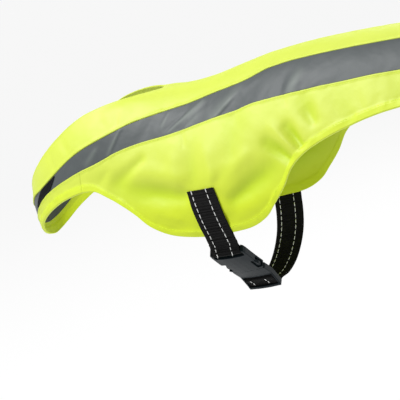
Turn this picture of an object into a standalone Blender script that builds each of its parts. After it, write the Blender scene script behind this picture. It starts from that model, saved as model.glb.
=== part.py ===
"""Dog safety vest: a hollow, worn-shape vest of sewn panels with a side stripe each side and a belly belt.

Tables are in millimetres and degrees. Forward is -X, the left side is -Y and up is +Z.
The origin is inside the back panel at the withers, where the vest lies on its wearer.
"""
import math

import bmesh
import bpy
import numpy as np

MM = 0.001
SHARP = math.radians(40)    # edges sharper than this are left sharp

def table(names, rows):
    """A table of numbers with a name for each column."""
    return dict(zip(names.split(), np.array(rows, float).T))


# ---- sizes in millimetres ----
CLOTH = 1.4             # wall of the yellow cloth
STRIPE_WALL = 1.1       # wall of the reflective stripe
STRIPE_INSET = 0.4      # how far the stripe lies below the folded panel edges
SEAM_GAP = 0.3          # clearance between neighbouring pieces
STATION_STEPS = 2       # mesh columns in each row of the cut table
WITHERS = (30.0, 0.0, 1.6)      # the tables' place for the origin
BACK_ROWS = 6
STRIPE_ROWS = 2
LOWER_ROWS = 8
SHOULDER_ROW = 6        # row of the cut table that carries the shoulder seam

WEBBING = 30.0          # belt width
WEBBING_WALL = 1.6
BELT_X = 57.0           # belt centre, behind the forelegs
BELT_TOP = 90.0         # degrees round from the spine at which the belt is sewn on
BELT_EDGE = 121.0       # degrees at which it leaves the flap
BELT_LIFT = 1.3         # belt centre above the flap's face

LABEL_WALL = 1.0
LABEL_FRONT, LABEL_REAR = 2.58, 3.97    # cut rows that the chest label spans
LABEL_SLANT = 1.15                      # rows that its top edge lies further back than its low edge
LABEL_TOP, LABEL_LOW = 0.11, 0.90       # shares of the stripe's width

BUCKLE_BAR = (-61.6, -158.9)    # y, z of the socket's bar
BUCKLE_TILT = 35.5              # degrees that the buckle falls towards the middle
BUCKLE_LENGTH = 71.0            # from bar to bar
BUCKLE_ARCH = 1.0               # rise of its middle
TAIL_AT, TAIL_TURN = 62.0, 12.5 # where the plug's tail turns out, and by how many degrees
STRAP_FALL = 62.0               # slope of the belt as it reaches the socket
SOCKET_END = 44.0
SOCKET_HALF = 18.4
SOCKET_DEEP = 4.0
PLUG_HALF = 17.5
PLUG_DEEP = 3.6
PLUG_END = 86.5
END_BAR = (81.3, 84.9)          # the bar that holds the belt's loose end down
END_BAR_LOW, END_BAR_TOP = 2.5, 4.3
CAVITY_HALF, CAVITY_DEEP = 14.4, 2.3
PRONG_IN, PRONG_OUT, PRONG_TIP = 9.0, 13.9, 24.0
WINDOW_END = 40.0
BAR_HALF, BAR_DEEP = 1.2, 1.2
BAR_LOOP = 2.9                  # radius at which webbing turns round a bar
LAYERS = 2.5                    # from one layer of webbing to the next
SLOT = 5.6
SLOT_HALF = 15.6
ARM = 3.6                       # how far the socket's arms pass its bar
BEHIND = 20.0                   # depth of the open space behind a bar

# Rings round the wearer: top x, z; lowest x, z; half width; lift of the sides; egg shape.
RINGS = table("top_x top_z low_x low_z half_width lift egg", [
    (4, 3, -166, -78, 47, 28, 0.08),
    (17, 4, -167, -98, 57, 22, 0.12),
    (30, 3, -159, -124, 66, 15, 0.16),
    (46, 3, -130, -160, 72, 9, 0.17),
    (70, 5, -62, -187, 75, 4, 0.17),
    (100, 10, 20, -194, 76, 0, 0.16),
    (138, 15, 100, -195, 77, 0, 0.15),
    (200, 17, 192, -192, 76, 0, 0.14),
    (290, 13, 290, -180, 71, 0, 0.12),
    (370, 3, 370, -162, 64, 0, 0.10),
])

# The cut, from centre front to rear hem. Each row runs from the neck edge or the spine down to
# the hem and gives ring and degrees at: the start, the stripe's two edges and the hem.
START, UPPER, LOWER, HEM = "start", "upper", "lower", "hem"
CUT = table("start_ring start_deg upper_ring upper_deg lower_ring lower_deg hem_ring hem_deg", [
    (0.0, 180, 0.72, 180, 1.45, 180, 1.92, 180),
    (0.0, 156, 0.75, 158, 1.42, 158, 1.86, 163),
    (0.0, 134, 0.90, 139, 1.43, 139, 1.84, 146),
    (0.12, 119, 1.20, 123, 1.56, 122, 1.97, 129),
    (0.17, 106, 1.37, 111, 1.75, 110, 2.17, 115),
    (0.16, 95, 1.44, 101, 1.93, 101, 2.37, 106),
    (0.08, 83, 1.51, 91, 2.13, 92, 2.59, 99),
    (0.0, 73, 1.61, 83, 2.30, 86, 2.85, 95),
    (0.0, 62, 1.76, 75, 2.46, 80, 3.15, 95),
    (0.0, 50, 1.95, 66, 2.64, 73, 3.48, 97),
    (0.0, 37, 2.17, 57, 2.90, 67, 3.83, 101),
    (0.0, 19, 2.52, 49, 3.24, 62, 4.20, 108),
    (0.0, 0, 3.02, 42, 3.67, 58, 4.60, 114),
    (2.0, 0, 3.64, 37, 4.22, 54, 5.05, 117),
    (3.6, 0, 4.31, 33, 4.76, 52, 5.50, 117),
    (4.7, 0, 4.96, 32, 5.27, 51, 5.81, 116),
    (5.3, 0, 5.43, 31, 5.70, 50, 6.02, 112),
    (5.65, 0, 5.72, 29, 5.96, 50, 6.15, 106),
    (5.92, 0, 5.96, 27, 6.19, 50, 6.31, 98),
    (6.4, 0, 6.35, 26, 6.44, 50, 6.47, 88),
    (6.8, 0, 6.78, 26, 6.78, 50, 6.77, 80.5),
    (7.45, 0, 7.42, 26, 7.42, 50, 7.40, 73),
    (8.2, 0, 8.18, 26, 8.14, 50, 8.08, 69.5),
    (9.0, 0, 8.97, 27, 8.85, 49, 8.70, 66),
])
LAST_ROW = len(CUT["hem_deg"]) - 1

# Folds on each side panel: from x, z to x, z; half width; depth (a ridge is negative).
FOLDS_LEFT = table("x1 z1 x2 z2 half_width depth", [
    (118, -50, 149, -76, 8, 2.6),
    (134, -42, 156, -66, 7, 2.4),
    (128, -44, 153, -70, 4, -1.2),
    (167, -37, 176, -50, 7, 1.2),
    (128, -92, 84, -112, 13, 2.2),
    (-22, -88, 28, -102, 15, 3.0),
    (-38, -68, -12, -58, 10, 1.6),
    (14, -55, 30, -84, 8, -1.6),
])
FOLDS_RIGHT = table("x1 z1 x2 z2 half_width depth", [
    (112, -56, 146, -74, 9, 2.2),
    (140, -40, 158, -63, 7, 2.5),
    (178, -35, 190, -48, 8, 1.4),
    (122, -98, 80, -108, 14, 2.4),
    (-30, -84, 18, -106, 14, 2.7),
    (-46, -70, -20, -60, 9, 1.5),
    (6, -58, 24, -86, 9, -1.4),
])

# The belt's centre line between buckle and right flap, seen from behind.
BELT_RIGHT = table("y z", [(12, -209.3), (28, -208), (44, -200.5), (56, -188.5), (64.5, -174), (69.3, -158)])
BELT_DRIFT = 16.0       # how far back it lies on the right flap
BELT_LEG = 15.2         # doubled length of belt beyond the plug's bar

LEFT, RIGHT = -1, 1


# ---- the form that the cloth lies on ----
def smooth_rows(column, rows):
    """Values between the rows of a column, on a curve through all of them."""
    count = len(column)
    rows = np.clip(np.asarray(rows, float), 0, count - 1)
    low = np.minimum(rows.astype(int), count - 2)
    f = rows - low
    before, start = column[np.maximum(low - 1, 0)], column[low]
    end, after = column[low + 1], column[np.minimum(low + 2, count - 1)]
    slope_in = np.where(low == 0, end - start, (end - before) / 2)
    slope_out = np.where(low == count - 2, end - start, (after - start) / 2)
    return ((2 * f**3 - 3 * f**2 + 1) * start + (f**3 - 2 * f**2 + f) * slope_in
            + (-2 * f**3 + 3 * f**2) * end + (f**3 - f**2) * slope_out)


def form(ring, degrees, side):
    """Point of the worn form: ring number, degrees round from the spine, left or right."""
    at = {name: smooth_rows(column, ring) for name, column in RINGS.items()}
    turn = np.radians(degrees)
    cos, sin = np.cos(turn), np.sin(turn)
    dx, dz = at["top_x"] - at["low_x"], at["top_z"] - at["low_z"]
    lift = at["lift"] * sin**2 / np.hypot(dx, dz)
    x = (at["top_x"] + at["low_x"]) / 2 + dx / 2 * cos - dz * lift
    z = (at["top_z"] + at["low_z"]) / 2 + dz / 2 * cos + dx * lift
    y = side * at["half_width"] * sin * (1 - at["egg"] * cos)
    return np.stack([x, y, z], -1)


def form_normal(ring, degrees, side):
    ring_step, turn_step = 0.02, 0.5
    ring = np.asarray(ring, float)
    along = form(ring + ring_step, degrees, side) - form(ring - ring_step, degrees, side)
    round_ = form(ring, degrees + turn_step, side) - form(ring, degrees - turn_step, side)
    n = np.cross(along, round_) * side
    return n / np.linalg.norm(n, axis=-1, keepdims=True)


def fold_height(points, degrees, side):
    """Height of the folds: each is a soft trough or ridge along a line on the side panel."""
    height = np.zeros(points.shape[:-1])
    folds = FOLDS_LEFT if side == LEFT else FOLDS_RIGHT
    for x1, z1, x2, z2, half_width, depth in zip(*folds.values()):
        line = np.array([x2 - x1, z2 - z1])
        rel = points[..., [0, 2]] - np.array([x1, z1])
        share = np.clip(rel @ line / (line @ line), 0, 1)
        away = np.linalg.norm(rel - share[..., None] * line, axis=-1)
        height -= depth * np.exp(-(away / half_width) ** 2)
    fade = np.clip((np.asarray(degrees, float) - 25) / 25, 0, 1) * np.clip((170 - degrees) / 20, 0, 1)
    return height * fade


def cloth(ring, degrees, side, out=0.0):
    """Point of the vest's outer face, moved out by a distance."""
    degrees = np.asarray(degrees, float)
    points = form(ring, degrees, side)
    height = fold_height(points, degrees, side) + out
    return points + form_normal(ring, degrees, side) * height[..., None]


def cut_line(line, rows):
    """Ring and degrees on one of the four lines of the cut."""
    columns = CUT[line + "_ring"], CUT[line + "_deg"]
    if line == START:
        return np.stack([np.interp(rows, range(LAST_ROW + 1), column) for column in columns], -1)
    return np.stack([smooth_rows(column, rows) for column in columns], -1)


def stations(first, last):
    return np.linspace(first, last, round((last - first) * STATION_STEPS) + 1)


def panel(rows, first_line, last_line, across, side):
    """Ring and degrees over a panel between two lines of the cut: shape (rows, across + 1, 2)."""
    start, end = cut_line(first_line, rows), cut_line(last_line, rows)
    share = np.linspace(0, 1, across + 1)[None, :, None]
    return start[:, None, :] * (1 - share) + end[:, None, :] * share


def draw_in(grid, edge, by):
    """Moves one edge of a grid of points inwards along the surface, to leave half a seam's gap."""
    view = {"first": grid, "last": grid[:, ::-1], "front": grid.swapaxes(0, 1),
            "rear": grid.swapaxes(0, 1)[:, ::-1]}[edge]
    step = view[:, 1] - view[:, 0]
    view[:, 0] += step * (by / np.linalg.norm(step, axis=-1, keepdims=True))


# ---- turning grids of points into closed walls ----
def add_material(obj, colour, roughness, metallic=0.0):
    mat = bpy.data.materials.new(obj.name + "_mat")
    mat.use_nodes = True
    shader = mat.node_tree.nodes["Principled BSDF"]
    shader.inputs["Base Color"].default_value = (*colour, 1)
    shader.inputs["Roughness"].default_value = roughness
    shader.inputs["Metallic"].default_value = metallic
    obj.data.materials.append(mat)


def make_object(name, verts, faces, look):
    mesh = bpy.data.meshes.new(name)
    mesh.from_pydata([tuple((v - WITHERS) * MM) for v in verts], [], [tuple(f) for f in faces])
    bm = bmesh.new()
    bm.from_mesh(mesh)
    bmesh.ops.triangulate(bm, faces=bm.faces[:])
    if bm.calc_volume(signed=True) < 0:
        bmesh.ops.reverse_faces(bm, faces=bm.faces[:])
    bm.to_mesh(mesh)
    bm.free()
    mesh.shade_smooth()
    mesh.set_sharp_from_angle(angle=SHARP)
    obj = bpy.data.objects.new(name, mesh)
    bpy.context.scene.collection.objects.link(obj)
    add_material(obj, *look)
    return obj


def grid_quads(numbers):
    a, b, c, d = numbers[:-1, :-1], numbers[1:, :-1], numbers[1:, 1:], numbers[:-1, 1:]
    return [tuple(q) for q in np.stack([a, b, c, d], -1).reshape(-1, 4)]


def closed_wall(name, outer, inner, quads, look):
    """A wall between two skins of the same faces, with a rim along every free edge."""
    count = len(outer)
    edges = {}
    for quad in quads:
        for a, b in zip(quad, quad[1:] + quad[:1]):
            edges[(a, b)] = True
    faces = [tuple(q) for q in quads]
    faces += [tuple(count + k for k in reversed(q)) for q in quads]
    for a, b in edges:
        if (b, a) not in edges:
            faces.append((b, a, count + a, count + b))
    return make_object(name, np.concatenate([outer, inner]), faces, look)


def skin(params, side, out):
    return cloth(params[..., 0], params[..., 1], side, out)


def side_wall(name, rows, first_line, last_line, across, side, look, wall, inset, drawn):
    """A panel on one side of the vest as a closed wall."""
    params = panel(rows, first_line, last_line, across, side)
    skins = []
    for out in (-inset, -inset - wall):
        grid = skin(params, side, out)
        for edge in drawn:
            draw_in(grid, edge, SEAM_GAP / 2)
        skins.append(grid.reshape(-1, 3))
    numbers = np.arange(len(skins[0])).reshape(params.shape[:2])
    return closed_wall(name, skins[0], skins[1], grid_quads(numbers), look)


def both_sides_wall(name, rows, first_line, last_line, across, look, wall, drawn, joined):
    """A panel that runs over both sides, joined along the points that lie on the middle plane."""
    outers, inners, quads = [], [], []
    numbers = None
    for side in (LEFT, RIGHT):
        params = panel(rows, first_line, last_line, across, side)
        on_middle = joined(params)
        grids = []
        for out in (0.0, -wall):
            grid = skin(params, side, out)
            for edge in drawn:
                draw_in(grid, edge, SEAM_GAP / 2)
            grid[on_middle, 1] = 0.0
            grids.append(grid)
        if side == LEFT:
            numbers = np.arange(params[..., 0].size).reshape(params.shape[:2])
            outers.append(grids[0].reshape(-1, 3))
            inners.append(grids[1].reshape(-1, 3))
            quads += grid_quads(numbers)
        else:
            fresh = ~on_middle
            mirrored = numbers.copy()
            mirrored[fresh] = numbers.size + np.arange(fresh.sum())
            outers.append(grids[0][fresh])
            inners.append(grids[1][fresh])
            quads += [q[::-1] for q in grid_quads(mirrored)]
    return closed_wall(name, np.concatenate(outers), np.concatenate(inners), quads, look)


# ---- the belt ----
def ring_at(x, degrees):
    """Ring number at which the form passes a given x, at some degrees round."""
    rings = np.linspace(3.0, 8.0, 251)
    x, degrees = np.broadcast_arrays(np.asarray(x, float), np.asarray(degrees, float))
    out = np.empty(x.shape)
    for k in np.ndindex(x.shape):
        out[k] = np.interp(x[k], form(rings, np.full(rings.shape, degrees[k]), LEFT)[:, 0], rings)
    return out


def smooth_step(share):
    share = np.clip(share, 0, 1)
    return share * share * (3 - 2 * share)


def smooth_path(points, step):
    """Points a step apart on a curve through a few points."""
    points = np.array(points, float)
    rows = np.linspace(0, len(points) - 1, 60 * len(points))
    fine = np.stack([smooth_rows(points[:, k], rows) for k in (0, 1)], -1)
    run = np.concatenate([[0], np.cumsum(np.linalg.norm(np.diff(fine, axis=0), axis=1))])
    at = np.linspace(0, run[-1], max(2, round(run[-1] / step) + 1))
    return np.stack([np.interp(at, run, fine[:, k]) for k in (0, 1)], -1)


def buckle_place(u, w):
    """y, z of a point of the buckle: along it from the socket's bar, and outwards."""
    tilt = math.radians(BUCKLE_TILT)
    half = BUCKLE_LENGTH / 2
    w = w + BUCKLE_ARCH * (1 - ((min(u, TAIL_AT) - half) / half) ** 2)
    y = BUCKLE_BAR[0] + min(u, TAIL_AT) * math.cos(tilt)
    z = BUCKLE_BAR[1] - min(u, TAIL_AT) * math.sin(tilt)
    if u > TAIL_AT:
        tilt += math.radians(TAIL_TURN)
        y += (u - TAIL_AT) * math.cos(tilt)
        z -= (u - TAIL_AT) * math.sin(tilt)
    return y - w * math.sin(tilt), z - w * math.cos(tilt)


def bar_loop(bar, fall, towards, reach):
    """y, z of webbing turned round a bar: from a reach away on the outside to as far inside."""
    tilt = math.radians(fall)
    arc = [(math.sin(math.radians(a)) * BAR_LOOP, math.cos(math.radians(a)) * BAR_LOOP)
           for a in range(0, 181, 30)]
    leg = [(-reach, LAYERS / 2), (-5.5, LAYERS / 2)]
    loop = leg + arc + [(u, -w) for u, w in reversed(leg)]
    return [(bar[0] + towards * u * math.cos(tilt) - w * math.sin(tilt),
             bar[1] - towards * u * math.sin(tilt) - w * math.cos(tilt)) for u, w in loop]


def belt_rows_on_flap(side):
    """Belt grid where it lies on the flap, from its sewn end down to the flap's edge."""
    degrees = np.arange(BELT_TOP, BELT_EDGE + 0.1, 3.1)
    across = np.linspace(-WEBBING / 2, WEBBING / 2, 5)
    drift = np.interp(degrees, (90, 117), (-3, 3)) if side == LEFT else 0 * degrees + BELT_DRIFT
    x = BELT_X + drift[:, None] + across[None, :]
    turn = np.broadcast_to(degrees[:, None], x.shape)
    return cloth(ring_at(x, turn), turn, side, BELT_LIFT)


def belt_grid(side, path):
    """The whole of one belt piece: on the flap, then along a path of y, z that fades from it."""
    flap = belt_rows_on_flap(side)
    across = np.linspace(-WEBBING / 2, WEBBING / 2, 5)
    path = np.array(path)
    plain = np.stack([np.broadcast_to(BELT_X + across, (len(path), 5)),
                      np.broadcast_to(path[:, :1], (len(path), 5)),
                      np.broadcast_to(path[:, 1:], (len(path), 5))], -1)
    run = np.concatenate([[0], np.cumsum(np.linalg.norm(np.diff(path, axis=0), axis=1))])
    away = flap[-1] - plain[0]
    drift = np.array([away[2, 0], 0.0, 0.0])
    reach = 14.0 if side == LEFT else 110.0
    shift = smooth_step(1 - run / reach)[:, None, None] * drift
    skew = smooth_step(1 - run / 14.0)[:, None, None] * (away - drift)
    return np.concatenate([flap, (plain + shift + skew)[1:]])


def ribbon(name, grid, look):
    """A strip of webbing: its middle surface moved half a wall each way."""
    along = np.gradient(grid, axis=0)
    across = np.gradient(grid, axis=1)
    n = np.cross(along, across)
    n /= np.linalg.norm(n, axis=-1, keepdims=True)
    numbers = np.arange(grid[..., 0].size).reshape(grid.shape[:2])
    skins = [(grid + n * s * WEBBING_WALL / 2).reshape(-1, 3) for s in (1, -1)]
    return closed_wall(name, skins[0], skins[1], grid_quads(numbers), look)


def belt_paths():
    """y, z paths of both belt pieces from the flap's edge to their sewn or loose ends."""
    flap_left = belt_rows_on_flap(LEFT)[-1, 2, 1:]
    flap_right = belt_rows_on_flap(RIGHT)[-1, 2, 1:]
    near = bar_loop(buckle_place(0.0, 0.0), STRAP_FALL, 1, 11.0)
    left = np.concatenate([smooth_path([flap_left, near[0]], 6.0), near[1:]])
    far = bar_loop(buckle_place(BUCKLE_LENGTH, 0.0), BUCKLE_TILT + TAIL_TURN, -1, BELT_LEG)
    down = smooth_path([far[-2], far[-1], *zip(*BELT_RIGHT.values()), flap_right], 4.0)
    return left, np.concatenate([down[::-1], far[::-1][2:]])


# ---- the buckle ----
def flat_box(u, v, w):
    """A closed box in buckle coordinates as verts and faces."""
    verts = [(a, b, c) for a in u for b in v for c in w]
    faces = [(0, 1, 3, 2), (4, 6, 7, 5), (0, 4, 5, 1), (2, 3, 7, 6), (0, 2, 6, 4), (1, 5, 7, 3)]
    return verts, faces


def flat_plate(outline, deep):
    """A closed plate from an outline of u, v."""
    count = len(outline)
    verts = [(u, v, w) for w in (-deep, deep) for u, v in outline]
    faces = [tuple(range(count))[::-1], tuple(range(count, 2 * count))]
    faces += [(k, (k + 1) % count, count + (k + 1) % count, count + k) for k in range(count)]
    return verts, faces


def temp_object(shape):
    mesh = bpy.data.meshes.new("temp")
    mesh.from_pydata(shape[0], [], shape[1])
    bm = bmesh.new()
    bm.from_mesh(mesh)
    bmesh.ops.recalc_face_normals(bm, faces=bm.faces[:])
    bm.to_mesh(mesh)
    bm.free()
    obj = bpy.data.objects.new("temp", mesh)
    bpy.context.scene.collection.objects.link(obj)
    return obj


def combine(base, steps):
    """Adds and cuts shapes from a base shape: steps are (operation, shape)."""
    obj = temp_object(base)
    for operation, shape in steps:
        tool = temp_object(shape)
        mod = obj.modifiers.new("b", "BOOLEAN")
        mod.operation, mod.object, mod.solver = operation, tool, "EXACT"
        depsgraph = bpy.context.evaluated_depsgraph_get()
        mesh = bpy.data.meshes.new_from_object(obj.evaluated_get(depsgraph))
        obj.modifiers.clear()
        obj.data = mesh
        bpy.data.objects.remove(tool)
    return obj


def mirrored(outline):
    return outline + [(u, -v) for u, v in reversed(outline)]


def place_buckle_piece(name, obj, crown, look):
    """Cuts a flat piece into short lengths, rounds its face and sets it on the belt."""
    bm = bmesh.new()
    bm.from_mesh(obj.data)
    for u in (*range(0, int(TAIL_AT), 8), TAIL_AT):
        geometry = bm.verts[:] + bm.edges[:] + bm.faces[:]
        bmesh.ops.bisect_plane(bm, geom=geometry, plane_co=(u + 0.37, 0, 0), plane_no=(1, 0, 0))
    for v in (-9.1, -3.1, 3.1, 9.1):
        geometry = bm.verts[:] + bm.edges[:] + bm.faces[:]
        bmesh.ops.bisect_plane(bm, geom=geometry, plane_co=(0, v, 0), plane_no=(0, 1, 0))
    bmesh.ops.remove_doubles(bm, verts=bm.verts[:], dist=1e-4)
    verts = []
    for vert in bm.verts:
        u, v, w = vert.co
        if w > CAVITY_DEEP + SEAM_GAP:
            w -= crown * (v / SOCKET_HALF) ** 2
        y, z = buckle_place(u, w)
        verts.append(np.array([BELT_X + v, y, z]))
    bm.verts.index_update()
    faces = [[v.index for v in face.verts] for face in bm.faces]
    bm.free()
    bpy.data.objects.remove(obj)
    return make_object(name, verts, faces, look)


def bar_cuts(bar, towards):
    """The slot beside a bar, the open space behind it and the thinning of the bar itself."""
    near, far = bar + towards * BAR_HALF, bar + towards * (BAR_HALF + SLOT)
    behind = bar - towards * BEHIND
    half = (-SLOT_HALF, SLOT_HALF)
    back = bar - towards * BAR_HALF
    round_bar = (bar - BAR_HALF - 0.5, bar + BAR_HALF + 0.5)
    return [
        ("DIFFERENCE", flat_box(sorted((near, far)), half, (-9, 9))),
        ("DIFFERENCE", flat_box(sorted((back, behind)), half, (-9, 9))),
        ("DIFFERENCE", flat_box(round_bar, half, (BAR_DEEP, 9))),
        ("DIFFERENCE", flat_box(round_bar, half, (-9, -BAR_DEEP))),
    ]


def build_socket(look):
    outline = mirrored([(-ARM, SOCKET_HALF - 2.6), (-ARM + 2, SOCKET_HALF - 0.6), (3.0, SOCKET_HALF),
                        (SOCKET_END - 3.0, SOCKET_HALF), (SOCKET_END, SOCKET_HALF - 2.0)])
    far = SOCKET_HALF + 5
    window = (PRONG_TIP - 1, WINDOW_END)
    steps = [
        ("DIFFERENCE", flat_box((12.0, SOCKET_END + 5), (-CAVITY_HALF, CAVITY_HALF),
                                (-CAVITY_DEEP, CAVITY_DEEP))),
        ("DIFFERENCE", flat_box(window, (CAVITY_HALF - 1, far), (-CAVITY_DEEP, 9))),
        ("DIFFERENCE", flat_box(window, (-far, 1 - CAVITY_HALF), (-CAVITY_DEEP, 9))),
    ] + bar_cuts(0.0, 1)
    return place_buckle_piece("buckle_socket", combine(flat_plate(outline, SOCKET_DEEP), steps),
                              1.4, look)


def build_plug(look):
    shut = SOCKET_END + SEAM_GAP
    outline = mirrored([(shut, PLUG_HALF - 1.0), (shut + 2, PLUG_HALF), (PLUG_END - 3, PLUG_HALF),
                        (PLUG_END - 0.9, PLUG_HALF - 0.5), (PLUG_END, SLOT_HALF + 0.4)])
    deep = CAVITY_DEEP - 0.5
    prong = [(shut + 2, PRONG_IN), (shut + 2, PRONG_OUT), (WINDOW_END - 0.5, PRONG_OUT),
             (WINDOW_END - 0.9, 17.1), (33.0, 17.5), (PRONG_TIP + 1.5, 15.0), (PRONG_TIP, 12.0),
             (PRONG_TIP + 1, PRONG_IN)]
    steps = [
        ("UNION", flat_plate(prong, deep)),
        ("UNION", flat_plate([(u, -v) for u, v in prong], deep)),
        ("UNION", flat_box((15.0, shut + 2), (-3.6, 3.6), (-deep, deep))),
    ] + bar_cuts(BUCKLE_LENGTH, -1) + [
        ("UNION", flat_box(END_BAR, (0.4 - PLUG_HALF, PLUG_HALF - 0.4), (END_BAR_LOW, END_BAR_TOP))),
    ]
    return place_buckle_piece("buckle_plug", combine(flat_plate(outline, PLUG_DEEP), steps),
                              1.1, look)


def build_label(look):
    """A bare tab sewn over the stripe on the left of the chest."""
    along = np.linspace(LABEL_FRONT, LABEL_REAR, 7)
    share = np.linspace(LABEL_TOP, LABEL_LOW, 5)
    rows = along[:, None] + LABEL_SLANT * (0.5 - share)[None, :]
    upper, lower = cut_line(UPPER, rows), cut_line(LOWER, rows)
    params = upper * (1 - share[None, :, None]) + lower * share[None, :, None]
    low = -STRIPE_INSET + SEAM_GAP
    skins = [skin(params, LEFT, out).reshape(-1, 3) for out in (low + LABEL_WALL, low)]
    numbers = np.arange(rows.size).reshape(rows.shape)
    return closed_wall("label_tab", skins[0], skins[1], grid_quads(numbers), look)


def main():
    for obj in list(bpy.data.objects):
        bpy.data.objects.remove(obj)
    yellow = ((0.72, 0.86, 0.05), 0.6)
    silver = ((0.17, 0.18, 0.19), 0.45)
    black_cloth = ((0.012, 0.012, 0.013), 0.8)
    black_plastic = ((0.03, 0.034, 0.042), 0.4)

    whole = stations(0, LAST_ROW)
    both_sides_wall("back_panel", whole, START, UPPER, BACK_ROWS, yellow, CLOTH,
                    ("front", "last"), lambda p: (p[..., 1] == 0))
    both_sides_wall("chest_panel", stations(0, SHOULDER_ROW), LOWER, HEM, LOWER_ROWS // 2, yellow,
                    CLOTH, ("rear", "first"), lambda p: (p[..., 1] == 180))
    for side, word in ((LEFT, "left"), (RIGHT, "right")):
        side_wall("stripe_" + word, whole, UPPER, LOWER, STRIPE_ROWS, side, silver,
                  STRIPE_WALL, STRIPE_INSET, ("front", "first", "last"))
        side_wall("side_panel_" + word, stations(SHOULDER_ROW, LAST_ROW), LOWER, HEM, LOWER_ROWS,
                  side, yellow, CLOTH, 0.0, ("front", "first"))
    build_label(black_cloth)
    left, right = belt_paths()
    ribbon("belt_left", belt_grid(LEFT, left), black_cloth)
    ribbon("belt_right", belt_grid(RIGHT, right), black_cloth)
    build_socket(black_plastic)
    build_plug(black_plastic)


main()
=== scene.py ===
# %% [markdown]
# # A dog safety vest
# The real vest is cut from thin fluorescent woven cloth. A back panel runs round the neck as a
# collar, a dark reflective stripe is let in along each side, and a side panel hangs below it as a
# flap. A webbing belt with a side-release buckle joins the two flaps underneath.
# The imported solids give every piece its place. This lesson lays finer cloth on the same form, so
# nothing has to be fitted: only hems, creases, stitches and finishes are new.

# %% Load the frame
import math

import bmesh
import bpy
import numpy as np
from mathutils import Matrix, Vector


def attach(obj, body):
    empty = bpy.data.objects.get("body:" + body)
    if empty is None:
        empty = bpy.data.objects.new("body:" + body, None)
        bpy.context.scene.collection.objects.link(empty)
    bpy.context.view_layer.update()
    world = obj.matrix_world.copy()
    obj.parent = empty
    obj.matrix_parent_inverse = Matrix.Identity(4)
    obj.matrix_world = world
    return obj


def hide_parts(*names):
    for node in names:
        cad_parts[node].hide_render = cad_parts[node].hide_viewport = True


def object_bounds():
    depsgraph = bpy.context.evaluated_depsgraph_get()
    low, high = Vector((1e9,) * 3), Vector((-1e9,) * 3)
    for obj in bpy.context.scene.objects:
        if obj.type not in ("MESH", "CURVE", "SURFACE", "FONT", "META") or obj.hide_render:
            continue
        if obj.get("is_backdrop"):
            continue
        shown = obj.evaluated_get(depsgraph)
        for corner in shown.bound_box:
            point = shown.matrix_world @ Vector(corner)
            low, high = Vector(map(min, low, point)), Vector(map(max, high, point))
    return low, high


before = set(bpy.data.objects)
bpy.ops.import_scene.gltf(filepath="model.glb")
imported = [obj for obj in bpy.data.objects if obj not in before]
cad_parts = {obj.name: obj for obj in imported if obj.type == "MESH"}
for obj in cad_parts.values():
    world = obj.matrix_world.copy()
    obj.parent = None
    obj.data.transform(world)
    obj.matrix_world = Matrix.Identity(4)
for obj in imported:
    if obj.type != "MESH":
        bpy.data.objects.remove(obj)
cad_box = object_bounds()
MM = 0.001
LEFT, RIGHT = -1, 1
WITHERS = np.array([30.0, 0.0, 1.6])    # the tables' place for the origin, in millimetres


def linked(name, data):
    """A new object of the scene, at the origin."""
    obj = bpy.data.objects.new(name, data)
    bpy.context.scene.collection.objects.link(obj)
    return obj


print(len(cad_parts), "solids in", [round(x / MM) for x in cad_box[1] - cad_box[0]], "mm")

# %% [markdown]
# ## Camera
# The picture looks at the left side from a little behind, a little above and from far away, with
# the camera turned on its own axis. A long lens far off keeps the flaps from spreading apart.

# %% Camera
CAMERA_TURN, CAMERA_RISE, CAMERA_ROLL = (math.radians(a) for a in (27.0, 9.0, 15.0))
CAMERA_AWAY, LENS, SENSOR_WIDTH = 1833.0, 165.0, 36.0
AIM = np.array([12.0, 0.0, -115.0]) - WITHERS

back = Vector((math.sin(CAMERA_TURN) * math.cos(CAMERA_RISE),
               -math.cos(CAMERA_TURN) * math.cos(CAMERA_RISE), math.sin(CAMERA_RISE)))
right = Vector((math.cos(CAMERA_TURN), math.sin(CAMERA_TURN), 0.0))
up = back.cross(right)
rolled_right = right * math.cos(CAMERA_ROLL) - up * math.sin(CAMERA_ROLL)
rolled_up = right * math.sin(CAMERA_ROLL) + up * math.cos(CAMERA_ROLL)
camera = linked("camera", bpy.data.cameras.new("camera"))
camera.data.lens, camera.data.sensor_width = LENS, SENSOR_WIDTH
camera.data.clip_start, camera.data.clip_end = 0.05, 50.0
turned = Matrix((rolled_right, rolled_up, back)).transposed().to_4x4()
camera.matrix_world = Matrix.Translation((Vector(AIM) + back * CAMERA_AWAY) * MM) @ turned
bpy.context.scene.camera = camera
print("camera at", [round(x, 2) for x in camera.location], "m")

# %% [markdown]
# ## The form that the cloth lies on
# A worn vest could be modelled by pushing points about, but its pieces would then drift apart at
# the seams. Here one form carries them all. Ten rings stand along it from the neck edge to the
# rear, and a place on it is a ring number and some degrees round from the top line. The cut is a
# table too: four lines that run from centre front to the rear hem, one row for each station.

# %% Tables of the form and the cut, in millimetres and degrees
def table(names, rows):
    """A table of numbers with a name for each column."""
    return dict(zip(names.split(), np.array(rows, float).T))


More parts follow.
